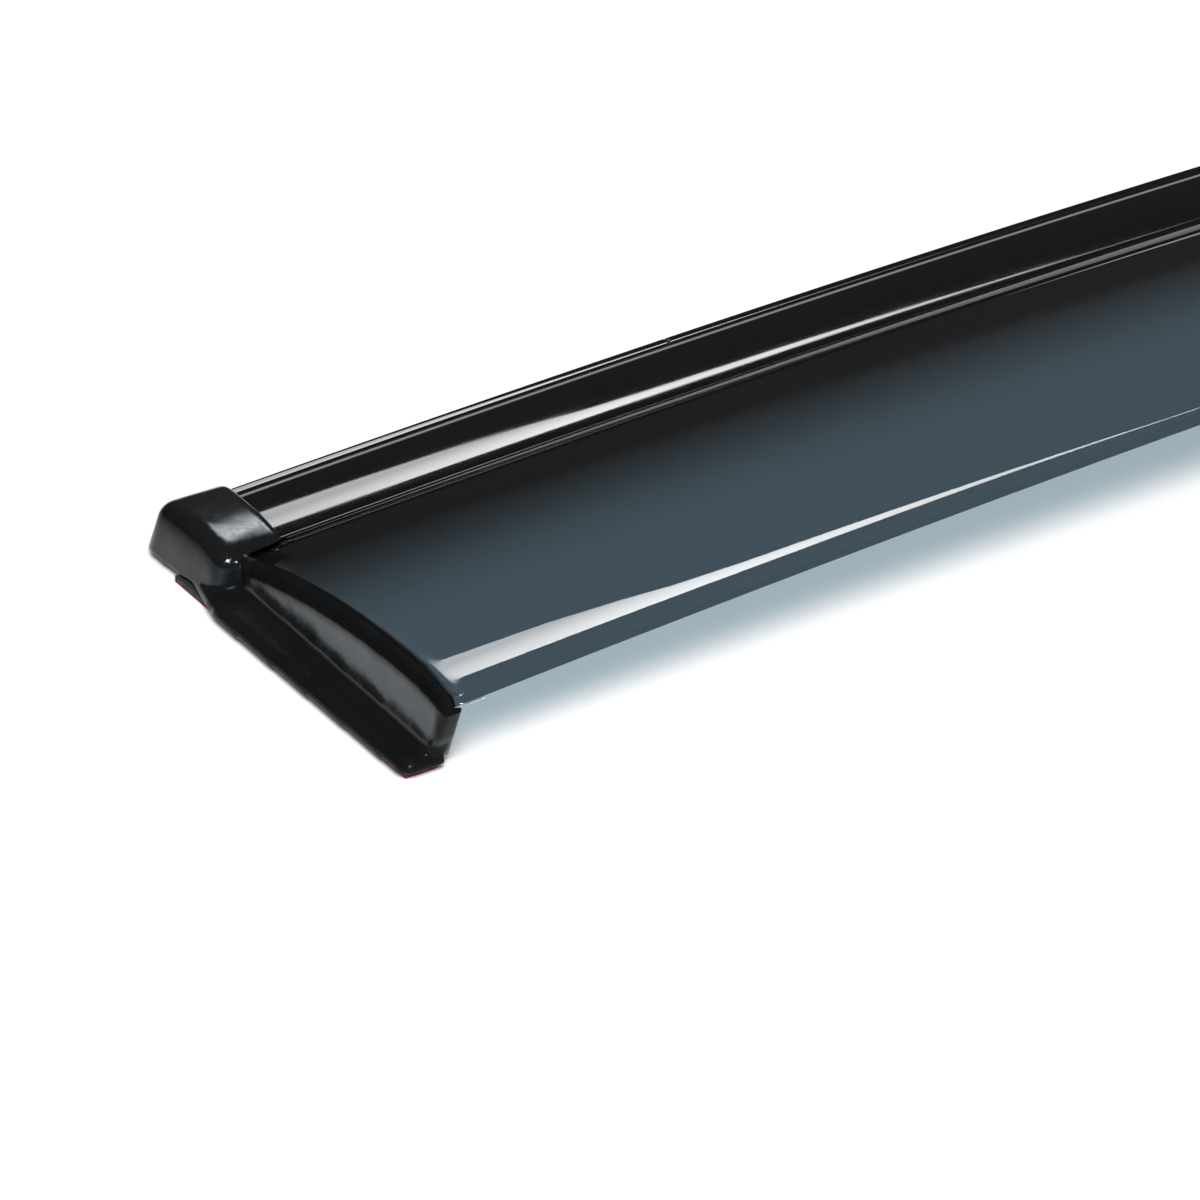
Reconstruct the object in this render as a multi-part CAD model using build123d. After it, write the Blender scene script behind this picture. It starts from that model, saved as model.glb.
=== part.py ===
from build123d import *
from math import asin, cos, degrees, radians, sin, sqrt, tan
import os

# A window rain deflector for a car door, lying on its two adhesive feet.
# X runs along the visor, Y from the front lip back to the rail, Z up from the table.
# Sections are drawn in the plane of an end wall's outer face, with Y from the foot of the wall's front edge.

# The whole visor, and the bow that its long pieces share
wall_span = 584.0           # between the outer faces of the two end walls
bow_radius = 5800.0
bow_lean = 45.0             # direction of the bow, from straight up towards the back

# Adhesive foam tape and its release liner
tape_thick = 1.1
liner_thick = 0.2
bond_gap = 0.15             # bond line between glued pieces

# Smoke panel
panel_thick = 2.5
crease_z = 8.2              # height at which the panel's top meets the rail
panel_rise = 16.6           # slope of the panel as it leaves the rail
panel_radius = 205.0
panel_turn = 17.1
brow_radius = 49.7          # the panel rounds over gently before its front bend
brow_turn = 11.0
bend_radius = 4.4
bend_turn = 42.0
tongue = 3.2                # length of the panel's back edge inside the rail

# Top rail
rail_front = 67.4
rail_back = 85.8
rail_lift = 0.3             # the rail's liner clears the table by this at the end walls
crown_z = 10.3
crown_front_radius = 42.0
crown_front_turn = 13.5
crown_back_radius = 100.0
crown_back_turn = 2.7
shoulder_radius = 1.0
back_lip_round = 0.6
groove_width = 0.7          # fine groove that sets off the back lip
groove_depth = 0.4
rail_wall = 1.9
rail_end = 2.3              # the rail runs this far past the wall's outer face, into the cap
rail_tape_width = 12.0
rail_tape_gap = 1.0         # between the ends of the rail's tape and the caps

# End piece: wall, front return, foot and cap, moulded as one
wall_thick = 2.0
wall_lean = 7.0             # draft of the wall's outer face
wall_root_out = 1.2         # how far that draft brings the wall out at its foot
wall_root_round = 2.2
rim_proud = 0.4             # the wall's rim stands above the panel
rim_round = 1.1
rim_tip_round = 1.5
return_reach = 3.8          # length of the front return along the visor
return_thick = 2.0
return_drop = 0.7           # top of the return below the rim's front tip
return_start = 1.4          # the return starts inside the wall, behind its rounded front edge
foot_thick = 2.4
foot_front = -1.9
foot_tip_out = 6.3          # how far the foot stands out from the wall at its tip
foot_root_out = 8.1         # and where it starts to run in to the cap
foot_root_y = 60.5
foot_root_run = 20.0
foot_root_sunk = 1.2        # the foot's root ends this far inside the cap's end face
foot_tip_round = 2.8
foot_root_round = 8.0
foot_edge_round = 2.2
cap_reach = 9.5             # length of rail that the cap covers
cap_proud = 1.6
cap_front_out = 5.4         # cap's end face outside the wall, at its front
cap_back_out = 6.4          # and at its back
cap_end_draft = 9.5
cap_front_draft = 9.0
cap_back_draft = 16.0
cap_crown_turn = 4.2
cap_shoulder = 4.2
cap_back_round = 4.0
cap_end_round = 3.7
cap_mouth_bevel = 0.8       # eased edge where the cap ends on the rail
socket_clear = 0.3          # between the rail's end and the bottom of the cap's socket

# Tape under each foot
foot_tape_out = 5.1         # outer front corner, from the wall's outer face
foot_tape_front = -0.4
foot_tape_width = 6.2
foot_tape_length = 78.4
foot_tape_skew = 1.0        # the strip is laid along the foot's outer edge

# Worked out from the sizes above
base_z = tape_thick + liner_thick
rail_base = base_z + rail_lift
crown_run = (crown_front_radius - shoulder_radius) * sin(radians(crown_front_turn))
crown_y = rail_front + shoulder_radius + crown_run
half_span = wall_span / 2
beyond = wall_span          # well outside every section
bow_rise = bow_radius - sqrt(bow_radius ** 2 - half_span ** 2)
bow_y = bow_rise * sin(radians(bow_lean))
bow_z = bow_rise * cos(radians(bow_lean))


def along(point, angle, length):
    return (point[0] + length * cos(radians(angle)), point[1] + length * sin(radians(angle)))


# The panel's line from the end of its tongue to its front edge, raised by a distance from its top face
def panel_line(raised):
    out = 180 - panel_rise
    crease = along((rail_front, crease_z), out - 90, raised)
    flat = Line(along(crease, out, -tongue), crease)
    crest = JernArc(flat @ 1, flat % 1, panel_radius + raised, panel_turn)
    brow = JernArc(crest @ 1, crest % 1, brow_radius + raised, brow_turn)
    bend = JernArc(brow @ 1, brow % 1, bend_radius + raised, bend_turn)
    return [flat, crest, brow, bend]


def closed(lines):
    return make_face(Curve() + lines)


def box_between(low, high):
    size = Vector(*high) - Vector(*low)
    return Pos((Vector(*low) + Vector(*high)) / 2) * Box(size.X, size.Y, size.Z)


rim_tip = panel_line(rim_proud)[-1] @ 1
depth_centre = (rail_back + bow_y + rim_tip.X) / 2
end_place = Pos(-half_span, -depth_centre, 0)

bow_towards = Vector(0, sin(radians(bow_lean)), cos(radians(bow_lean)))
bow_foot = Vector(0, bow_y - depth_centre, bow_z)
bow_axis = Axis(bow_foot - bow_towards * bow_radius, (0, bow_towards.Z, -bow_towards.Y))
bow_swing = degrees(asin((half_span + 2 * foot_root_out) / bow_radius))


# A section carried round the bow, kept between two distances from the left wall's outer face
def bowed(section, start, stop):
    placed = Pos(bow_foot) * (Plane.YZ * section)
    whole = revolve(placed, bow_axis, 2 * bow_swing).rotate(bow_axis, -bow_swing)
    return whole & box_between((start - half_span, -beyond, -beyond), (stop - half_span, beyond, beyond))


def panel_section():
    top = panel_line(0)
    under = panel_line(-panel_thick)
    back = Line(under[0] @ 0, top[0] @ 0)
    edge = Line(top[-1] @ 1, under[-1] @ 1)
    return closed(top + [edge] + under + [back])


# Crown of the rail, or of a cap that stands proud of it: its front half with a shoulder, and its back half
def crown_front(proud, shoulder, draft):
    crown = JernArc((crown_y, crown_z + proud), (-1, 0), crown_front_radius + proud, crown_front_turn)
    return [crown, JernArc(crown @ 1, crown % 1, shoulder, 90 - draft - crown_front_turn)]


def crown_back(proud, turn):
    return JernArc((crown_y, crown_z + proud), (1, 0), crown_back_radius + proud, -turn)


def rail_outline(base):
    front = crown_front(0, shoulder_radius, 0)
    back = crown_back(0, crown_back_turn)
    lip_top = (rail_back, (back @ 1).Y)
    face = Line(front[-1] @ 1, (rail_front, base))
    floor = Line(face @ 1, (rail_back, base))
    rear = Line(floor @ 1, lip_top)
    top = Line(rear @ 1, back @ 1)
    outline = closed(front + [face, floor, rear, top, back])
    corner = outline.vertices().sort_by_distance((*lip_top, 0))[0]
    return fillet(corner, back_lip_round)


def rail_section():
    groove_at = crown_back(0, crown_back_turn) @ 1
    groove = Polygon(
        groove_at,
        groove_at + Vector(groove_width, 0),
        groove_at + Vector(groove_width / 2, -groove_depth),
        align=None,
    )
    cavity_low = Vector(rail_front + tongue + bond_gap + rail_wall, rail_base + rail_wall)
    cavity_size = Vector(rail_back - rail_wall, groove_at.Y - groove_depth - rail_wall) - cavity_low
    cavity = Pos(cavity_low) * Rectangle(cavity_size.X, cavity_size.Y, align=Align.MIN)
    return rail_outline(rail_base) - groove - cavity - panel_room()


# Space that the panel takes up in the pieces glued to it
def panel_room():
    return offset(panel_section(), bond_gap, kind=Kind.INTERSECTION)


# Space that the rail's end takes up in a cap, open below
def rail_room():
    return offset(rail_outline(0), bond_gap, kind=Kind.INTERSECTION)


def tape_section(top, thick):
    middle = (rail_front + rail_back) / 2
    return Pos(middle, top - thick / 2) * Rectangle(rail_tape_width, thick)


def end_wall():
    rim = panel_line(rim_proud)
    front = Line(rim[-1] @ 1, (0, base_z))
    back = Line(rim[0] @ 0, ((rim[0] @ 0).X, base_z))
    profile = closed(rim + [front, Line(front @ 1, back @ 1), back])
    profile = fillet(profile.vertices().sort_by(Axis.X)[0], rim_tip_round)
    wall = Pos(-wall_root_out, 0, 0) * extrude(Plane.YZ * profile, wall_root_out + wall_thick, (1, 0, 0))
    outward = (-cos(radians(wall_lean)), 0, sin(radians(wall_lean)))
    wall = split(wall, Plane((-wall_root_out, 0, base_z), x_dir=(0, 1, 0), z_dir=outward), Keep.BOTTOM)
    outer = wall.faces().sort_by(Axis.X)[0].edges()
    return fillet(outer.sort_by(Axis.Z)[1:].sort_by(Axis.Y)[:-1], rim_round)


def front_return():
    lean = Vector(rim_tip.X, rim_tip.Y - base_z).normalized()
    low = Vector(0, base_z)
    top = low + lean * ((rim_tip.Y - return_drop - base_z) / lean.Y)
    back = Vector(return_thick, 0)
    profile = Polygon(low, top, top + back, low + back, align=None)
    return Pos(return_start, 0, 0) * extrude(Plane.YZ * profile, return_reach - return_start, (1, 0, 0))


# Flange outside the wall, whose root runs in to the cap; its top edge is rounded wherever it is free
def foot():
    tip = (-foot_tip_out, foot_front)
    root = (-foot_root_out, foot_root_y)
    back = foot_root_y + foot_root_run
    inside = [(foot_root_sunk - cap_front_out, back), (wall_thick, back), (wall_thick, foot_front)]
    outline = Polygon(tip, root, *inside, align=None)
    for point, size in ((tip, foot_tip_round), (root, foot_root_round)):
        outline = fillet(outline.vertices().sort_by_distance((*point, 0))[0], size)
    pad = extrude(Pos(0, 0, base_z) * outline, foot_thick, (0, 0, 1))
    free_edges = pad.faces().sort_by(Axis.Z)[-1].edges().sort_by(Axis.X)[:-1].sort_by(Axis.Y)[:-1]
    return fillet(free_edges, foot_edge_round)


# A line that falls to the foot's level from the end of a curve, leaning back by an angle
def drafted(start, lean):
    return Line(start, (start.X + (start.Y - base_z) * tan(radians(lean)), base_z))


def cap_section():
    front = crown_front(cap_proud, cap_shoulder, cap_front_draft)
    back = crown_back(cap_proud, cap_crown_turn)
    round_back = JernArc(back @ 1, back % 1, cap_back_round, cap_crown_turn + cap_back_draft - 90)
    face = drafted(front[-1] @ 1, -cap_front_draft)
    rear = drafted(round_back @ 1, cap_back_draft)
    return closed(front + [face, Line(face @ 1, rear @ 1), rear, round_back, back])


# The edges of an end face that stand clear of the table
def upper_edges(face):
    return face.edges().sort_by(Axis.Z)[1:]


# The cap is a straight hood over the rail's end, closed by a drafted and slightly skewed end face
def cap():
    outside = 2 * cap_back_out
    block = Pos(-outside, 0, 0) * extrude(Plane.YZ * cap_section(), outside + cap_reach, (1, 0, 0))
    skew = Vector(cap_front_out - cap_back_out, rail_back - rail_front, 0).normalized()
    up = Vector(sin(radians(cap_end_draft)), 0, cos(radians(cap_end_draft)))
    corner = Vector(-cap_front_out, rail_front, base_z)
    block = split(block, Plane(corner, x_dir=skew, z_dir=skew.cross(up)), Keep.TOP)
    block = fillet(upper_edges(block.faces().sort_by(Axis.X)[0]), cap_end_round)
    return chamfer(upper_edges(block.faces().sort_by(Axis.X)[-1]), cap_mouth_bevel)


# The wall runs into the foot in a wide inside round, from the cap's front to the visor's front
def end_piece():
    solid = cap() + end_wall() + front_return() + foot()
    corner_near = (0, rail_front - cap_shoulder, base_z + foot_thick)
    corner = solid.vertices().sort_by_distance(corner_near)[0]
    inside = ShapeList(edge for edge in solid.edges() if corner in edge.vertices()).sort_by(Axis.Y)[0]
    solid = end_place * fillet(inside, wall_root_round)
    solid -= bowed(rail_room(), -rail_end - socket_clear, 2 * cap_reach)
    return solid - bowed(panel_room(), wall_thick, 2 * cap_reach)


# A strip under the foot that also reaches under the cap's end
def foot_strip(bottom, thick):
    strip = Box(foot_tape_width, foot_tape_length, thick, align=Align.MIN)
    return end_place * Pos(-foot_tape_out, foot_tape_front, bottom) * Rot(0, 0, foot_tape_skew) * strip


def both_ends(shape, name):
    return {"left_" + name: shape, "right_" + name: mirror(shape, Plane.YZ)}


panel_start = wall_thick + bond_gap
tape_start = cap_reach + rail_tape_gap
tape_stop = wall_span - tape_start
pieces = {
    "top_rail": bowed(rail_section(), -rail_end, wall_span + rail_end),
    "smoke_panel": bowed(panel_section(), panel_start, wall_span - panel_start),
    "rail_tape": bowed(tape_section(rail_base, tape_thick), tape_start, tape_stop),
    "rail_liner": bowed(tape_section(rail_base - tape_thick, liner_thick), tape_start, tape_stop),
}
pieces |= both_ends(end_piece(), "end_piece")
pieces |= both_ends(foot_strip(liner_thick, tape_thick), "foot_tape")
pieces |= both_ends(foot_strip(0, liner_thick), "foot_liner")

os.makedirs("parts", exist_ok=True)
for name, shape in pieces.items():
    export_step(shape, "parts/" + name + ".step")
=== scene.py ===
import bmesh
import bpy
from math import asin, atan2, cos, degrees, pi, radians, sin
from mathutils import Matrix, Vector
from random import Random


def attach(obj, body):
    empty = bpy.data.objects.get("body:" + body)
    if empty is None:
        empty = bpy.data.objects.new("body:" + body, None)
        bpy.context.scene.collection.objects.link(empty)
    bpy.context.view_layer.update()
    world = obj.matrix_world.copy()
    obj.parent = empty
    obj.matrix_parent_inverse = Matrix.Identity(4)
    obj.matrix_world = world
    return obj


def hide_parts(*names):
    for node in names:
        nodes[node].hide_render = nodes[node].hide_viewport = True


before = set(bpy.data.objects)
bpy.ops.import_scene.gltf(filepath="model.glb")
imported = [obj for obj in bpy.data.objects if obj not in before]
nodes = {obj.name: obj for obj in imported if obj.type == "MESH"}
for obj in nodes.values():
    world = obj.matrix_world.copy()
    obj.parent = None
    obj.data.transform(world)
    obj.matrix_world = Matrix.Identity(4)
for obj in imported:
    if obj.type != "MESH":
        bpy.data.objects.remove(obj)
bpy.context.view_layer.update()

scene = bpy.context.scene
scene.view_settings.view_transform = "Standard"
mm = 0.001
backwards, upwards, forwards = 0, 90, 180  # headings of a section line, in degrees

# the long pieces share one bow, in metres, that is swept past both ends and trimmed
# a section is drawn in mm, with y from the foot of the end wall and z from the table
bow = {"radius": 5.8, "lean": radians(45), "halfSpan": 0.292, "overrun": 0.016,
       "depthCentre": 0.042795, "rise": 0.007355, "steps": 120}
bowTowards = Vector((0, sin(bow["lean"]), cos(bow["lean"])))
bowAlong = Vector((0, cos(bow["lean"]), -sin(bow["lean"])))
bowFoot = bowTowards * bow["rise"] - Vector((0, bow["depthCentre"], 0))
bowCentre = bowFoot - bowTowards * bow["radius"]
bowSwing = asin((bow["halfSpan"] + bow["overrun"]) / bow["radius"])


# 0 at the first limit, 1 at the second
def rampIn(value, limits):
    return min(1, max(0, (value - limits[0]) / (limits[1] - limits[0])))


def wholeOf(bm):
    return bm.verts[:] + bm.edges[:] + bm.faces[:]


def onlyKind(items, kind):
    return [item for item in items if isinstance(item, kind)]


# section line tools: its start, a straight run, and an arc that turns left when its turn is positive
def startAt(bm, y, z):
    return bm.verts.new((0, y * mm, z * mm))


def runTo(bm, vert, y, z):
    corner = bmesh.ops.extrude_vert_indiv(bm, verts=[vert])["verts"][0]
    corner.co = (0, y * mm, z * mm)
    return corner


def arcOn(bm, vert, heading, radius, turn, steps):
    side = 1 if turn > 0 else -1
    leftHand = Vector((0, -sin(radians(heading)), cos(radians(heading))))
    centre = vert.co + leftHand * side * radius * mm
    swept = bmesh.ops.spin(bm, geom=[vert], cent=centre, axis=(1, 0, 0), angle=radians(turn), steps=steps)
    return onlyKind(swept["geom_last"], bmesh.types.BMVert)[0]


# carries a section line round the bow
def sweepBow(bm):
    toOneEnd = Matrix.Rotation(-bowSwing, 3, bowAlong)
    bmesh.ops.translate(bm, vec=bowFoot, verts=bm.verts[:])
    bmesh.ops.rotate(bm, cent=bowCentre, matrix=toOneEnd, verts=bm.verts[:])
    line = bm.verts[:] + bm.edges[:]
    bmesh.ops.spin(bm, geom=line, cent=bowCentre, axis=bowAlong, angle=2 * bowSwing, steps=bow["steps"])
    bmesh.ops.recalc_face_normals(bm, faces=bm.faces[:])


# cuts both ends square and closes them
def trimEnds(bm, halfLength):
    for side in (-1, 1):
        cut = bmesh.ops.bisect_plane(bm, geom=wholeOf(bm), plane_co=(side * halfLength, 0, 0),
                                     plane_no=(side, 0, 0), clear_outer=True)["geom_cut"]
        bmesh.ops.edgeloop_fill(bm, edges=onlyKind(cut, bmesh.types.BMEdge))
    bmesh.ops.recalc_face_normals(bm, faces=bm.faces[:])


edgeEase = {"sharperThan": 40.0, "segments": 2, "clearOfEnds": 0.1}


# rounds off the long edges, not those of the trimmed ends
def easeEdges(bm, offset, halfLength):
    sharpAngle = radians(edgeEase["sharperThan"])
    inside = halfLength - edgeEase["clearOfEnds"] * mm
    sharp = [edge for edge in bm.edges if edge.is_manifold and edge.calc_face_angle() > sharpAngle
             and min(abs(vert.co.x) for vert in edge.verts) < inside]
    bmesh.ops.bevel(bm, geom=sharp, offset=offset * mm, offset_type="OFFSET", segments=edgeEase["segments"],
                    profile=0.5, affect="EDGES", material=-1, clamp_overlap=True)


# where a point lies on the unbowed section, in mm: along the bow, across it and up
def onSection(point):
    outward = (point - bowCentre).dot(bowTowards)
    turn = atan2(point.x, outward)
    straight = bowTowards * (Vector((point.x, outward, 0)).length - bow["radius"])
    straight += bowAlong * (point - bowCentre).dot(bowAlong)
    return turn * bow["radius"] / mm, straight.y / mm, straight.z / mm


flashRag = {"shortest": 0.25, "rootCurl": 0.3, "halfGrid": 0.5}


# a ragged sliver of moulding flash along an edge
def addFlash(bm, flash):
    picks = Random(flash["seed"])
    start, end = (Vector(point) * mm for point in flash["edge"])
    half = flashRag["halfGrid"]
    sheet = bmesh.ops.create_grid(bm, x_segments=flash["teeth"], y_segments=2, size=half)["verts"]
    for vert in sheet:
        share, out = vert.co.x + half, vert.co.y + half
        reach = flash["reach"] * mm * out * picks.uniform(flashRag["shortest"], 1.0)
        curl = flash["curl"] * mm * picks.uniform(-1.0, 1.0) * (flashRag["rootCurl"] + out)
        vert.co = start.lerp(end, share) + Vector(flash["towards"]) * reach + Vector((0, 0, curl))
    faces = {face for vert in sheet for face in vert.link_faces}
    bmesh.ops.solidify(bm, geom=list(faces), thickness=flash["thick"] * mm)


# object tools
def newObject(name, data):
    thing = bpy.data.objects.new(name, data)
    scene.collection.objects.link(thing)
    return thing


def meshObject(name, bm):
    mesh = bpy.data.meshes.new(name)
    bm.to_mesh(mesh)
    bm.free()
    return newObject(name, mesh)


def addPiece(name, bm, material, stands=()):
    for face in bm.faces:
        face.smooth = True
    piece = meshObject(name, bm)
    piece.data.materials.append(material)
    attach(piece, "root")
    if stands:
        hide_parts(*stands)
    print("piece", name, len(piece.data.polygons), "faces")


# node tools
def newMaterial(name):
    material = bpy.data.materials.new(name)
    material.use_nodes = True
    tree = material.node_tree
    return material, tree, tree.nodes["Principled BSDF"]


def addNode(tree, kind, values=None, **settings):
    node = tree.nodes.new(kind)
    for key, value in settings.items():
        setattr(node, key, value)
    for key, value in (values or {}).items():
        node.inputs[key].default_value = value
    return node


# goes from one colour to the other as the mask rises
def blend(tree, mask, start, end):
    tint = addNode(tree, "ShaderNodeMix", data_type="RGBA")
    tint.inputs["A"].default_value = (*start, 1)
    tint.inputs["B"].default_value = (*end, 1)
    tree.links.new(mask, tint.inputs["Factor"])
    return tint


skinNoise = {"waves": {"Detail": 1.5, "Roughness": 0.4}, "haze": {"Detail": 4.0, "Roughness": 0.6},
             "hazeSpan": {"From Min": 0.35, "From Max": 0.7}}


# surface of a moulded or drawn plastic: slow waves that bend its reflections, fine haze that dulls its gloss
def makePlasticSkin():
    group = bpy.data.node_groups.new("plasticSkin", "ShaderNodeTree")
    sockets = group.interface
    for label, value in (("Wave Scale", 40.0), ("Wave Height", 0.1), ("Haze Scale", 300.0), ("Gloss", 0.1),
                         ("Dull", 0.25), ("Stretch", 1.0), ("Grain Height", 0.02)):
        socket = sockets.new_socket(name=label, in_out="INPUT", socket_type="NodeSocketFloat")
        socket.default_value = value
    for label in ("Roughness", "Height", "Mottle"):
        sockets.new_socket(name=label, in_out="OUTPUT", socket_type="NodeSocketFloat")
    given = addNode(group, "NodeGroupInput")
    put = addNode(group, "NodeGroupOutput")
    where = addNode(group, "ShaderNodeTexCoord")
    squeeze = addNode(group, "ShaderNodeCombineXYZ", {"Y": 1.0, "Z": 1.0})
    stretched = addNode(group, "ShaderNodeVectorMath", operation="MULTIPLY")
    group.links.new(given.outputs["Stretch"], squeeze.inputs["X"])
    group.links.new(where.outputs["Object"], stretched.inputs[0])
    group.links.new(squeeze.outputs["Vector"], stretched.inputs[1])
    waves = addNode(group, "ShaderNodeTexNoise", skinNoise["waves"])
    group.links.new(stretched.outputs["Vector"], waves.inputs["Vector"])
    group.links.new(given.outputs["Wave Scale"], waves.inputs["Scale"])
    haze = addNode(group, "ShaderNodeTexNoise", skinNoise["haze"])
    group.links.new(stretched.outputs["Vector"], haze.inputs["Vector"])
    group.links.new(given.outputs["Haze Scale"], haze.inputs["Scale"])
    gloss = addNode(group, "ShaderNodeMapRange", skinNoise["hazeSpan"])
    group.links.new(haze.outputs["Fac"], gloss.inputs["Value"])
    group.links.new(given.outputs["Gloss"], gloss.inputs["To Min"])
    group.links.new(given.outputs["Dull"], gloss.inputs["To Max"])
    group.links.new(gloss.outputs["Result"], put.inputs["Roughness"])
    swell = addNode(group, "ShaderNodeMath", operation="MULTIPLY")
    group.links.new(waves.outputs["Fac"], swell.inputs[0])
    group.links.new(given.outputs["Wave Height"], swell.inputs[1])
    grain = addNode(group, "ShaderNodeMath", operation="MULTIPLY_ADD")
    group.links.new(haze.outputs["Fac"], grain.inputs[0])
    group.links.new(given.outputs["Grain Height"], grain.inputs[1])
    group.links.new(swell.outputs["Value"], grain.inputs[2])
    group.links.new(grain.outputs["Value"], put.inputs["Height"])
    group.links.new(waves.outputs["Fac"], put.inputs["Mottle"])
    return group


plasticSkin = makePlasticSkin()


def skinOn(tree, shader, look):
    skin = addNode(tree, "ShaderNodeGroup", node_tree=plasticSkin)
    for label, value in look["skin"].items():
        skin.inputs[label].default_value = value
    bump = addNode(tree, "ShaderNodeBump", {"Strength": 1.0, "Distance": look["bump"]})
    tree.links.new(skin.outputs["Height"], bump.inputs["Height"])
    tree.links.new(bump.outputs["Normal"], shader.inputs["Normal"])
    tree.links.new(skin.outputs["Roughness"], shader.inputs["Roughness"])
    return skin


def mottledBase(tree, shader, look):
    tint = blend(tree, skinOn(tree, shader, look).outputs["Mottle"], look["dark"], look["light"])
    tree.links.new(tint.outputs["Result"], shader.inputs["Base Color"])
    return tint


# the pale colour is a painted highlight for the crown's back edge
railLook = {"dark": (0.003, 0.003, 0.0028), "light": (0.0055, 0.0055, 0.005), "pale": (0.24, 0.24, 0.23),
            "skin": {"Wave Scale": 22.0, "Wave Height": 0.05, "Haze Scale": 900.0, "Gloss": 0.035,
                     "Dull": 0.075, "Stretch": 0.06, "Grain Height": 0.0},
            "bump": 0.001}


# painted highlight: a thin band along the crown's back edge is coloured pale, standing in for the highlight
# that rounded edge catches
def makeRailBlack():
    material, tree, shader = newMaterial("railBlack")
    black = mottledBase(tree, shader, railLook)
    edge = addNode(tree, "ShaderNodeAttribute", attribute_name="paintedEdgeHighlight")
    tint = blend(tree, edge.outputs["Fac"], railLook["dark"], railLook["pale"])
    tree.links.new(black.outputs["Result"], tint.inputs["A"])
    tree.links.new(tint.outputs["Result"], shader.inputs["Base Color"])
    return material


mouldLook = {"dark": (0.005, 0.0055, 0.006), "light": (0.009, 0.0095, 0.0105), "tint": (0.77, 0.91, 1.0),
             "shine": 0.54, "dullShine": 0.0,
             "skin": {"Wave Scale": 110.0, "Wave Height": 0.36, "Haze Scale": 1400.0, "Gloss": 0.13,
                      "Dull": 0.23, "Stretch": 1.0, "Grain Height": 0.002},
             "bump": 0.001}


# the mould leaves parts of the end piece duller than the rest
def makeMouldBlack():
    material, tree, shader = newMaterial("mouldBlack")
    mottledBase(tree, shader, mouldLook)
    shader.inputs["Specular Tint"].default_value = (*mouldLook["tint"], 1)
    dullness = addNode(tree, "ShaderNodeAttribute", attribute_name="dull")
    shine = addNode(tree, "ShaderNodeMapRange", {"To Min": mouldLook["shine"],
                                                 "To Max": mouldLook["dullShine"]})
    tree.links.new(dullness.outputs["Fac"], shine.inputs["Value"])
    tree.links.new(shine.outputs["Result"], shader.inputs["Specular IOR Level"])
    return material


# smoked acrylic: its colour is what one pass through the sheet lets by, darkened towards the rail as painted
# shade
smokeLook = {"tint": (0.138, 0.17, 0.196), "paintedShade": (0.008, 0.009, 0.009), "shadeFading": (9.0, 50.0),
             "endHaze": (4.5, 0.24), "perFace": (0.54, 0.62, 0.66), "ior": 1.49,
             "skin": {"Wave Scale": 14.0, "Wave Height": 0.004, "Haze Scale": 700.0, "Gloss": 0.0,
                      "Dull": 0.02, "Stretch": 0.15, "Grain Height": 0.0},
             "bump": 0.001}


def makeSmoke():
    material, tree, shader = newMaterial("smokeAcrylic")
    skin = skinOn(tree, shader, smokeLook)
    # painted shade: the tint darkens to near black towards the rail, standing in for the rail's shadow on the
    # table under the sheet
    fromRail = addNode(tree, "ShaderNodeAttribute", attribute_name="fromRail")
    shadeFullTo, shadeGoneFrom = smokeLook["shadeFading"]
    shadeFading = addNode(tree, "ShaderNodeMapRange", {"From Min": shadeFullTo, "From Max": shadeGoneFrom},
                       interpolation_type="SMOOTHSTEP")
    tree.links.new(fromRail.outputs["Fac"], shadeFading.inputs["Value"])
    tint = blend(tree, shadeFading.outputs["Result"], smokeLook["paintedShade"], smokeLook["tint"])
    tree.links.new(tint.outputs["Result"], shader.inputs["Base Color"])
    # haze where the ends are bonded
    fromEnd = addNode(tree, "ShaderNodeAttribute", attribute_name="fromEnd")
    hazeTo, hazy = smokeLook["endHaze"]
    endHaze = addNode(tree, "ShaderNodeMapRange", {"From Max": hazeTo, "To Min": hazy, "To Max": 0.0})
    tree.links.new(fromEnd.outputs["Fac"], endHaze.inputs["Value"])
    haze = addNode(tree, "ShaderNodeMath", operation="MAXIMUM")
    tree.links.new(endHaze.outputs["Result"], haze.inputs[0])
    tree.links.new(skin.outputs["Roughness"], haze.inputs[1])
    tree.links.new(haze.outputs["Value"], shader.inputs["Roughness"])
    shader.inputs["IOR"].default_value = smokeLook["ior"]
    shader.inputs["Transmission Weight"].default_value = 1
    # lamps shine through the sheet
    letBy = addNode(tree, "ShaderNodeBsdfTransparent", {"Color": (*smokeLook["perFace"], 1)})
    path = addNode(tree, "ShaderNodeLightPath")
    mix = addNode(tree, "ShaderNodeMixShader")
    tree.links.new(path.outputs["Is Shadow Ray"], mix.inputs["Fac"])
    tree.links.new(shader.outputs["BSDF"], mix.inputs[1])
    tree.links.new(letBy.outputs["BSDF"], mix.inputs[2])
    tree.links.new(mix.outputs["Shader"], tree.nodes["Material Output"].inputs["Surface"])
    return material


foamLook = {"dark": (0.015, 0.015, 0.015), "light": (0.05, 0.05, 0.052), "pore": 1600.0, "rough": 0.85,
            "bump": {"Strength": 0.7, "Distance": 0.0003}}


def makeFoam():
    material, tree, shader = newMaterial("foamTape")
    where = addNode(tree, "ShaderNodeTexCoord")
    cells = addNode(tree, "ShaderNodeTexVoronoi", {"Scale": foamLook["pore"]})
    tree.links.new(where.outputs["Object"], cells.inputs["Vector"])
    tint = blend(tree, cells.outputs["Distance"], foamLook["dark"], foamLook["light"])
    tree.links.new(tint.outputs["Result"], shader.inputs["Base Color"])
    bump = addNode(tree, "ShaderNodeBump", foamLook["bump"])
    tree.links.new(cells.outputs["Distance"], bump.inputs["Height"])
    tree.links.new(bump.outputs["Normal"], shader.inputs["Normal"])
    shader.inputs["Roughness"].default_value = foamLook["rough"]
    return material


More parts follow.
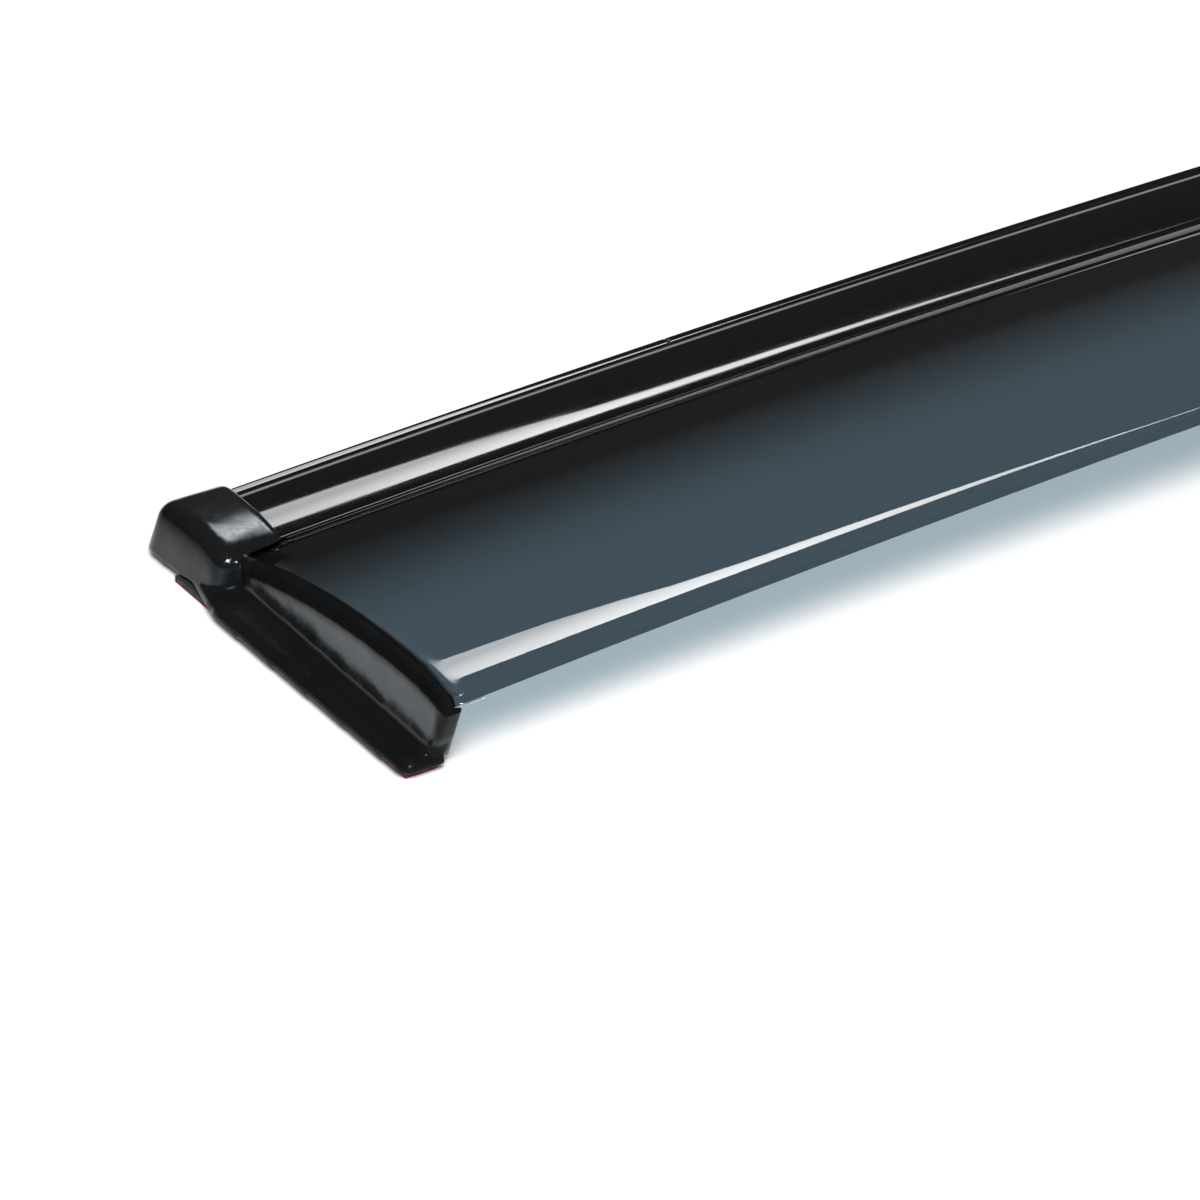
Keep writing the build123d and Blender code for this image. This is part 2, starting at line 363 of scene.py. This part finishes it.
filmLook = {"dark": (0.5, 0.012, 0.02), "light": (0.68, 0.035, 0.045),
            "skin": {"Wave Scale": 260.0, "Wave Height": 0.12, "Haze Scale": 1500.0, "Gloss": 0.22,
                     "Dull": 0.4, "Stretch": 0.6, "Grain Height": 0.02},
            "bump": 0.0005}


def makeFilm():
    material, tree, shader = newMaterial("redFilm")
    mottledBase(tree, shader, filmLook)
    return material


railBlack = makeRailBlack()
mouldBlack = makeMouldBlack()
smokeAcrylic = makeSmoke()
foamTape = makeFoam()
redFilm = makeFilm()
print("materials made")

# pieces whose solid is right as it is
dressed = {"left_foot_tape": foamTape, "right_foot_tape": foamTape, "rail_tape": foamTape,
           "left_foot_liner": redFilm, "right_foot_liner": redFilm, "rail_liner": redFilm}
for name, material in dressed.items():
    nodes[name].data.materials.clear()
    nodes[name].data.materials.append(material)
print("tapes and films dressed")

# end pieces: a shell drawn soft over its mould, with flash left at its seam; the right one mirrors the left
endPiece = {"voxel": 0.34, "softenings": 12, "softenBy": 0.5, "weld": 0.004,
            "bits": 6, "bitSize": 0.4, "bitSpread": 0.9, "bitRise": 0.7, "seed": 4}
seamFlash = ({"edge": ((-290.2, 20.6, 9.15), (-282.6, 22.7, 9.5)), "towards": (0.1, -0.95, 0.28),
              "reach": 1.3, "curl": 0.14, "thick": 0.12, "teeth": 16, "seed": 7},
             {"edge": ((-283.4, 22.6, 9.35), (-280.9, 23.3, 9.3)), "towards": (0.2, -0.95, 0.28),
              "reach": 0.9, "curl": 0.12, "thick": 0.12, "teeth": 7, "seed": 9})
# its duller parts, in mm: each pair of limits fades the dullness in from the first to the second
dullZones = {"footTop": (6.2, 5.0), "footInside": (-288.5, -289.5), "footBack": (20.0, 18.5), "footDull": 0.88,
             "rimDeep": (4.6, 3.0), "rimInside": (-286.5, -287.5),
             "frontReturn": (-44.0, -45.2), "returnDull": 0.82,
             "capEnd": (-294.6, -296.2), "capRise": (5.0, 9.5), "capDull": (0.5, 0.92),
             "capFront": (23.6, 22.0), "capFrontTop": (8.8, 7.4), "capFrontDull": 0.92}


def markDull(shell):
    # height of the wall's top, for each mm of its depth
    tops = {}
    for vert in shell.verts:
        row = round(vert.co.y / mm)
        if vert.co.x / mm < dullZones["rimInside"][1]:
            tops[row] = max(tops.get(row, 0), vert.co.z / mm)
    capLow, capHigh = dullZones["capDull"]
    dull = shell.verts.layers.float.new("dull")
    for vert in shell.verts:
        x, y, z = vert.co / mm
        ahead = rampIn(y, dullZones["footBack"])
        foot = rampIn(z, dullZones["footTop"]) * rampIn(x, dullZones["footInside"]) * dullZones["footDull"]
        rim = rampIn(tops.get(round(y), 0) - z, dullZones["rimDeep"]) * rampIn(x, dullZones["rimInside"])
        front = rampIn(y, dullZones["frontReturn"]) * dullZones["returnDull"]
        capTone = capLow + (capHigh - capLow) * rampIn(z, dullZones["capRise"])
        cap = rampIn(x, dullZones["capEnd"]) * (1 - ahead) * capTone
        capFront = rampIn(y, dullZones["capFront"]) * rampIn(z, dullZones["capFrontTop"])
        capFront *= dullZones["capFrontDull"]
        vert[dull] = max(foot * ahead, rim * ahead, front, cap, capFront * (1 - ahead))


def softShell(bm):
    holder = meshObject("roughShell", bm)
    remesh = holder.modifiers.new("remesh", "REMESH")
    remesh.mode = "VOXEL"
    remesh.voxel_size = endPiece["voxel"] * mm
    shell = bmesh.new()
    shell.from_object(holder, bpy.context.evaluated_depsgraph_get())
    bpy.data.objects.remove(holder)
    for softening in range(endPiece["softenings"]):
        bmesh.ops.smooth_vert(shell, verts=shell.verts[:], factor=endPiece["softenBy"], use_axis_x=True,
                              use_axis_y=True, use_axis_z=True)
    return shell


def makeEndPieces():
    bm = bmesh.new()
    bm.from_mesh(nodes["left_end_piece"].data)
    bmesh.ops.remove_doubles(bm, verts=bm.verts[:], dist=endPiece["weld"] * mm)
    # torn bits at the cap's outer back corner
    picks = Random(endPiece["seed"])
    corner = max(bm.verts, key=lambda vert: vert.co.y - vert.co.x).co.copy()
    spread = endPiece["bitSpread"] * mm
    for bit in range(endPiece["bits"]):
        place = corner + Vector((picks.uniform(0, spread), picks.uniform(-spread, 0),
                                 picks.uniform(0, endPiece["bitRise"]) * mm))
        turn = Matrix.Rotation(picks.uniform(0, pi), 4, (picks.random(), picks.random(), 1))
        bmesh.ops.create_cube(bm, size=endPiece["bitSize"] * mm, matrix=Matrix.Translation(place) @ turn)
    left = softShell(bm)
    for flash in seamFlash:
        addFlash(left, flash)
    bmesh.ops.recalc_face_normals(left, faces=left.faces[:])
    markDull(left)
    right = left.copy()
    bmesh.ops.scale(right, vec=(-1, 1, 1), verts=right.verts[:])
    bmesh.ops.reverse_faces(right, faces=right.faces[:])
    addPiece("leftEndPiece", left, mouldBlack, ["left_end_piece"])
    addPiece("rightEndPiece", right, mouldBlack, ["right_end_piece"])


makeEndPieces()

# smoke panel: one bent sheet, with ragged flash along the front lip near the photographed end
# each bend has a radius, a turn and its steps
panel = {"thick": 2.5, "crease": (67.4, 8.2), "rise": 16.6, "tongue": 3.2, "halfLength": 0.28985,
         "bends": ((205.0, 17.1, 48), (49.7, 11.0, 24), (4.4, 42.0, 28)), "edge": 0.25}
lipFlash = ({"edge": ((-287.6, -47.75, 14.15), (-284.2, -47.67, 14.26)), "towards": (0, -0.3, -0.95),
             "reach": 0.24, "curl": 0.06, "thick": 0.12, "teeth": 18, "seed": 3},
            {"edge": ((-289.6, -46.75, 15.1), (-287.5, -46.55, 15.4)), "towards": (0, -0.8, 0.4),
             "reach": 0.3, "curl": 0.08, "thick": 0.1, "teeth": 7, "seed": 5})
# where the panel comes out of the rail, and the way it slopes into it
crease = Vector(panel["crease"])
slope = radians(panel["rise"])
inward = Vector((cos(slope), -sin(slope)))
upward = Vector((sin(slope), cos(slope)))


def makePanel():
    bm = bmesh.new()
    heading = forwards - panel["rise"]
    y, z = panel["crease"]
    back = panel["tongue"]
    start = startAt(bm, y - back * cos(radians(heading)), z - back * sin(radians(heading)))
    last = runTo(bm, start, y, z)
    for radius, turn, steps in panel["bends"]:
        last = arcOn(bm, last, heading, radius, turn, steps)
        heading += turn
    sweepBow(bm)
    top = max(bm.faces, key=lambda face: face.calc_center_median().z)
    if top.normal.z < 0:
        bmesh.ops.reverse_faces(bm, faces=bm.faces[:])
    bmesh.ops.solidify(bm, geom=bm.faces[:], thickness=panel["thick"] * mm)
    trimEnds(bm, panel["halfLength"])
    easeEdges(bm, panel["edge"], panel["halfLength"])
    for flash in lipFlash:
        addFlash(bm, flash)
    fromRail = bm.verts.layers.float.new("fromRail")
    fromEnd = bm.verts.layers.float.new("fromEnd")
    for vert in bm.verts:
        run, across, up = onSection(vert.co)
        vert[fromRail] = panel["crease"][0] - across
        vert[fromEnd] = (panel["halfLength"] - abs(vert.co.x)) / mm
    addPiece("smokePanel", bm, smokeAcrylic, ["smoke_panel"])


makePanel()

# top rail: a drawn section with a slot for the panel, a domed crown and a thin back lip behind a groove
# each arc has a radius, a turn and its steps; the shoulder turns as far as it must
rail = {"front": 67.4, "back": 85.8, "base": 1.6, "slotDeep": 3.35, "slotUp": 0.15, "slotDown": 2.65,
        "beadOut": 0.25, "bead": (0.3, 88.0, 10), "shoulder": (1.0, 14), "crownApex": (77.971, 10.3),
        "crownFront": (42.0, 13.5, 32), "crownBack": (100.0, 2.48, 10), "crownEdge": (1.3, 38.0, 14),
        "groove": (83.2, 9.62), "lipStart": (83.32, 9.74), "lipHeading": 36.0,
        "lipRise": ((1.6, 25.0, 12), (9.0, 8.0, 18), (1.0, 2.5, 3)), "lipEnd": (0.5, 90.0, 10),
        "halfLength": 0.2943, "edge": 0.08, "weld": 0.01, "paintedEdgeHighlight": (81.8, 82.31), "highlightAbove": 9.9}
nick = {"x": -186.6, "cuts": (0.05, 0.4, 0.52), "reach": 0.06, "behind": 83.8, "above": 9.75,
        "move": (0, 0, -0.14)}


# a small dent in the back lip
def dentLip(bm):
    for cut in nick["cuts"]:
        for offset in (-cut, cut):
            bmesh.ops.bisect_plane(bm, geom=wholeOf(bm), plane_co=((nick["x"] + offset) * mm, 0, 0),
                                   plane_no=(1, 0, 0))
    dented = []
    for vert in bm.verts:
        run, across, up = onSection(vert.co)
        near = abs(vert.co.x / mm - nick["x"]) < nick["reach"]
        if near and across > nick["behind"] and up > nick["above"]:
            dented.append(vert)
    bmesh.ops.translate(bm, vec=Vector(nick["move"]) * mm, verts=dented)


def makeRail():
    bm = bmesh.new()
    deepLow = crease - upward * rail["slotDown"] + inward * rail["slotDeep"]
    deepHigh = crease + upward * rail["slotUp"] + inward * rail["slotDeep"]
    mouthLow = deepLow - inward * (deepLow.x - rail["front"]) / inward.x
    mouthHigh = deepHigh - inward * (deepHigh.x - rail["front"] + rail["beadOut"]) / inward.x
    start = startAt(bm, rail["front"], rail["base"])
    last = start
    for corner in (mouthLow, deepLow, deepHigh, mouthHigh):
        last = runTo(bm, last, *corner)
    # a fine bead overhangs the panel, and the shoulder starts from its top
    beadRadius, beadTurn, beadSteps = rail["bead"]
    last = arcOn(bm, last, upwards, beadRadius, -beadTurn, beadSteps)
    shoulder, shoulderSteps = rail["shoulder"]
    frontRadius, frontTurn, frontSteps = rail["crownFront"]
    apexY, apexZ = rail["crownApex"]
    centreY = apexY - (frontRadius - shoulder) * sin(radians(frontTurn))
    centreZ = apexZ - frontRadius + (frontRadius - shoulder) * cos(radians(frontTurn))
    lifted = asin(min(1, (last.co.z / mm - centreZ) / shoulder))
    last = runTo(bm, last, centreY - shoulder * cos(lifted), centreZ + shoulder * sin(lifted))
    heading = upwards - degrees(lifted)
    last = arcOn(bm, last, heading, shoulder, frontTurn - heading, shoulderSteps)
    # the crown, down to the groove
    last = arcOn(bm, last, frontTurn, frontRadius, -frontTurn, frontSteps)
    heading = backwards
    for radius, turn, steps in (rail["crownBack"], rail["crownEdge"]):
        last = arcOn(bm, last, heading, radius, -turn, steps)
        heading -= turn
    last = runTo(bm, last, *rail["groove"])
    # the back lip
    last = runTo(bm, last, *rail["lipStart"])
    heading = rail["lipHeading"]
    for radius, turn, steps in rail["lipRise"]:
        last = arcOn(bm, last, heading, radius, -turn, steps)
        heading -= turn
    endRadius, endTurn, endSteps = rail["lipEnd"]
    last = runTo(bm, last, rail["back"] - endRadius, last.co.z / mm)
    last = arcOn(bm, last, backwards, endRadius, -endTurn, endSteps)
    last = runTo(bm, last, rail["back"], last.co.z / mm)
    last = runTo(bm, last, rail["back"], rail["base"])
    bm.edges.new((last, start))
    bmesh.ops.remove_doubles(bm, verts=bm.verts[:], dist=rail["weld"] * mm)
    sweepBow(bm)
    trimEnds(bm, rail["halfLength"])
    easeEdges(bm, rail["edge"], rail["halfLength"])
    dentLip(bm)
    # painted highlight: marks the thin band on the crown's back edge that is coloured pale
    highlightFrom, highlightTo = rail["paintedEdgeHighlight"]
    paintedEdgeHighlight = bm.verts.layers.float.new("paintedEdgeHighlight")
    for vert in bm.verts:
        run, across, up = onSection(vert.co)
        vert[paintedEdgeHighlight] = highlightFrom < across < highlightTo and up > rail["highlightAbove"]
    addPiece("topRail", bm, railBlack, ["top_rail"])


makeRail()

# a grey strip along the crease, wider towards the middle: painted reflection standing in for the pale line the
# sheet shows against the rail
creaseReflection = {"behind": 0.15, "wide": 4.0, "narrow": 0.3, "widens": (270.0, 20.0), "low": 0.03, "high": 0.2,
            "frontPast": 0.5, "halfLength": 0.281}
creaseReflectionLook = {"dark": (0.1, 0.104, 0.108), "light": (0.13, 0.134, 0.138),
            "skin": {"Wave Scale": 90.0, "Wave Height": 0.02, "Haze Scale": 900.0, "Gloss": 0.35,
                     "Dull": 0.5, "Stretch": 0.1, "Grain Height": 0.0},
            "bump": 0.001}


def makeCreaseReflection():
    # painted reflection: the strip's grey colour stands in for the reflection along the crease
    material, tree, shader = newMaterial("paintedCreaseGrey")
    mottledBase(tree, shader, creaseReflectionLook)
    back = crease + inward * creaseReflection["behind"]
    bm = bmesh.new()
    start = startAt(bm, *(back + upward * creaseReflection["low"]))
    last = runTo(bm, start, *(crease - inward * creaseReflection["wide"] + upward * creaseReflection["low"]))
    last = runTo(bm, last, *(crease + upward * creaseReflection["high"]))
    last = runTo(bm, last, *(back + upward * creaseReflection["high"]))
    bm.edges.new((last, start))
    sweepBow(bm)
    trimEnds(bm, creaseReflection["halfLength"])
    # the front edge draws back towards the ends
    for vert in bm.verts:
        run, across, up = onSection(vert.co)
        if across < panel["crease"][0] - creaseReflection["frontPast"]:
            spare = (creaseReflection["wide"] - creaseReflection["narrow"]) * (1 - rampIn(abs(run), creaseReflection["widens"]))
            vert.co += Vector((0, *inward)) * spare * mm
    addPiece("creaseReflection", bm, material)


makeCreaseReflection()


# turns a camera or a lamp at a place towards its target
def facing(place, target):
    return (Vector(target) - Vector(place)).to_track_quat("-Z", "Y")


# camera
view = {"place": (-0.61133, -0.590595, 0.4059), "looksAt": (-0.2380, -0.011285, 0.0), "lens": 135.0,
        "sensor": 36.0}
camera = newObject("camera", bpy.data.cameras.new("camera"))
camera.location = view["place"]
camera.rotation_euler = facing(view["place"], view["looksAt"]).to_euler()
camera.data.lens = view["lens"]
camera.data.sensor_width = view["sensor"]
scene.camera = camera
print("camera placed")

# studio: a pale table, a dark room and a softbox face that only gloss sees, and soft lamps
subject = Vector((-0.25, 0, 0.01))
studio = {"table": 0.95, "tableRough": 0.9, "tableRadius": 9.0, "tableSides": 96,
          "lift": 0.04, "farLift": 0.95, "farAt": 2.2, "liftCurve": 0.5, "footprint": (0.3, 0.07, 0),
          "room": 0.06, "roomFrom": 3.0, "roomRadius": 8.0, "roomSegments": (48, 32),
          "sky": 0.05, "skySeen": 1.0, "firstScatter": 0.5}


# a place round the subject, by azimuth, elevation and distance
def toward(azimuth, elevation, distance):
    a, e = radians(azimuth), radians(elevation)
    return subject + Vector((sin(a) * cos(e), cos(a) * cos(e), sin(e))) * distance


def addStage(name, bm, material):
    thing = meshObject(name, bm)
    thing.data.materials.append(material)
    return thing


def hideFrom(thing, *rays):
    for ray in rays:
        setattr(thing, "visible_" + ray, False)


def addGlossStage(name, bm, material):
    hideFrom(addStage(name, bm, material), "camera", "diffuse", "transmission", "shadow", "volume_scatter")


# 1 for the rays that see the background
def backdropRays(tree):
    path = addNode(tree, "ShaderNodeLightPath")
    first = addNode(tree, "ShaderNodeMath", operation="MAXIMUM")
    both = addNode(tree, "ShaderNodeMath", operation="MAXIMUM")
    tree.links.new(path.outputs["Is Camera Ray"], first.inputs[0])
    tree.links.new(path.outputs["Is Glossy Ray"], first.inputs[1])
    tree.links.new(first.outputs["Value"], both.inputs[0])
    tree.links.new(path.outputs["Is Transmission Ray"], both.inputs[1])
    # light that a matt surface scatters doesn't count as seen
    unscattered = addNode(tree, "ShaderNodeMath", {1: studio["firstScatter"]}, operation="LESS_THAN")
    tree.links.new(path.outputs["Diffuse Depth"], unscattered.inputs[0])
    seen = addNode(tree, "ShaderNodeMath", operation="MULTIPLY")
    tree.links.new(both.outputs["Value"], seen.inputs[0])
    tree.links.new(unscattered.outputs["Value"], seen.inputs[1])
    return seen


def makeTable():
    material, tree, shader = newMaterial("paleTable")
    shader.inputs["Base Color"].default_value = (studio["table"],) * 3 + (1,)
    shader.inputs["Roughness"].default_value = studio["tableRough"]
    shader.inputs["Specular IOR Level"].default_value = 0.0
    shader.inputs["Emission Color"].default_value = (1, 1, 1, 1)
    rays = backdropRays(tree)
    # away from the visor the table is whiter by itself
    where = addNode(tree, "ShaderNodeTexCoord")
    side = addNode(tree, "ShaderNodeVectorMath", operation="ABSOLUTE")
    tree.links.new(where.outputs["Object"], side.inputs[0])
    past = addNode(tree, "ShaderNodeVectorMath", {1: studio["footprint"]}, operation="SUBTRACT")
    tree.links.new(side.outputs["Vector"], past.inputs[0])
    outside = addNode(tree, "ShaderNodeVectorMath", operation="MAXIMUM")
    tree.links.new(past.outputs["Vector"], outside.inputs[0])
    apart = addNode(tree, "ShaderNodeVectorMath", operation="LENGTH")
    tree.links.new(outside.outputs["Vector"], apart.inputs[0])
    share = addNode(tree, "ShaderNodeMapRange", {"From Max": studio["farAt"]})
    tree.links.new(apart.outputs["Value"], share.inputs["Value"])
    rise = addNode(tree, "ShaderNodeMath", {1: studio["liftCurve"]}, operation="POWER")
    tree.links.new(share.outputs["Result"], rise.inputs[0])
    lift = addNode(tree, "ShaderNodeMapRange", {"To Min": studio["lift"], "To Max": studio["farLift"]})
    tree.links.new(rise.outputs["Value"], lift.inputs["Value"])
    shown = addNode(tree, "ShaderNodeMath", operation="MULTIPLY")
    tree.links.new(lift.outputs["Result"], shown.inputs[0])
    tree.links.new(rays.outputs["Value"], shown.inputs[1])
    tree.links.new(shown.outputs["Value"], shader.inputs["Emission Strength"])
    material.cycles.emission_sampling = "NONE"
    bm = bmesh.new()
    bmesh.ops.create_circle(bm, cap_ends=True, segments=studio["tableSides"], radius=studio["tableRadius"])
    addStage("table", bm, material)


def glowing(name, strength):
    material, tree, shader = newMaterial(name)
    tree.nodes.remove(shader)
    glow = addNode(tree, "ShaderNodeEmission", {"Strength": strength})
    tree.links.new(glow.outputs["Emission"], tree.nodes["Material Output"].inputs["Surface"])
    material.cycles.emission_sampling = "NONE"
    return material


def makeRoom():
    around, rings = studio["roomSegments"]
    low = studio["roomRadius"] * sin(radians(studio["roomFrom"]))
    bm = bmesh.new()
    bmesh.ops.create_uvsphere(bm, u_segments=around, v_segments=rings, radius=studio["roomRadius"])
    bmesh.ops.bisect_plane(bm, geom=wholeOf(bm), plane_co=(0, 0, low), plane_no=(0, 0, -1), clear_outer=True)
    addGlossStage("darkRoom", bm, glowing("roomGrey", studio["room"]))


# face of the softbox as the gloss shows it, by azimuth and elevation; it is brightest round its hot spot
softbox = {"away": 7.0, "hotSpot": (43, 48), "hot": 15.0, "rim": 6.0, "fade": 1.15,
           "lowerEdge": ((25, 37.8), (30, 38.6), (33, 39.6), (36, 41.6), (38.5, 43.4), (41, 44.2),
                         (47, 44.2), (52, 44.2), (58, 44.2)),
           "upperEdge": ((58, 44.45), (52, 44.7), (50, 45.2), (48, 46), (45, 47.3), (42, 48.2),
                         (39, 49.2), (36, 49.8), (25, 50.6))}


def makeSoftboxFace():
    material = glowing("softboxGlow", softbox["hot"])
    tree = material.node_tree
    where = addNode(tree, "ShaderNodeTexCoord")
    hotSpot = toward(*softbox["hotSpot"], softbox["away"])
    apart = addNode(tree, "ShaderNodeVectorMath", {1: hotSpot}, operation="DISTANCE")
    tree.links.new(where.outputs["Object"], apart.inputs[0])
    level = addNode(tree, "ShaderNodeMapRange", {"From Max": softbox["fade"], "To Min": softbox["hot"],
                                                 "To Max": softbox["rim"]})
    tree.links.new(apart.outputs["Value"], level.inputs["Value"])
    tree.links.new(level.outputs["Result"], tree.nodes["Emission"].inputs["Strength"])
    bm = bmesh.new()
    outline = softbox["lowerEdge"] + softbox["upperEdge"]
    bm.faces.new([bm.verts.new(toward(a, e, softbox["away"])) for a, e in outline])
    addGlossStage("softboxFace", bm, material)


# small bare lamp that puts a glint on each rounded corner
glint = {"from": (205, 38, 2.4), "radius": 0.14, "sides": 32, "level": 320.0}


def makeGlint():
    place = toward(*glint["from"])
    turn = facing(place, subject).to_matrix().to_4x4()
    bm = bmesh.new()
    bmesh.ops.create_circle(bm, cap_ends=True, segments=glint["sides"], radius=glint["radius"],
                            matrix=Matrix.Translation(place) @ turn)
    addGlossStage("glintLamp", bm, glowing("glintGlow", glint["level"]))


lamps = {"softbox": {"from": (35, 46, 2.2), "size": (0.9, 0.6), "power": 7.0},
         "overhead": {"from": (190, 78, 2.4), "size": (2.6, 2.6), "power": 10.0},
         "frontFill": {"from": (205, 53, 2.4), "size": (1.2, 1.0), "power": 70.0}}


def addLamp(name, settings):
    lamp = bpy.data.lights.new(name, "AREA")
    lamp.shape = "RECTANGLE"
    lamp.size, lamp.size_y = settings["size"]
    lamp.energy = settings["power"]
    thing = newObject(name, lamp)
    thing.location = toward(*settings["from"])
    thing.rotation_euler = facing(thing.location, subject).to_euler()
    hideFrom(thing, "glossy", "camera", "transmission")


def makeSky():
    world = bpy.data.worlds.new("studioWorld")
    scene.world = world
    world.use_nodes = True
    tree = world.node_tree
    background = tree.nodes["Background"]
    background.inputs["Color"].default_value = (1, 1, 1, 1)
    rays = backdropRays(tree)
    level = addNode(tree, "ShaderNodeMapRange", {"To Min": studio["sky"], "To Max": studio["skySeen"]})
    tree.links.new(rays.outputs["Value"], level.inputs["Value"])
    tree.links.new(level.outputs["Result"], background.inputs["Strength"])


makeTable()
makeRoom()
makeSoftboxFace()
makeGlint()
for name, settings in lamps.items():
    addLamp(name, settings)
makeSky()
print("studio lit")
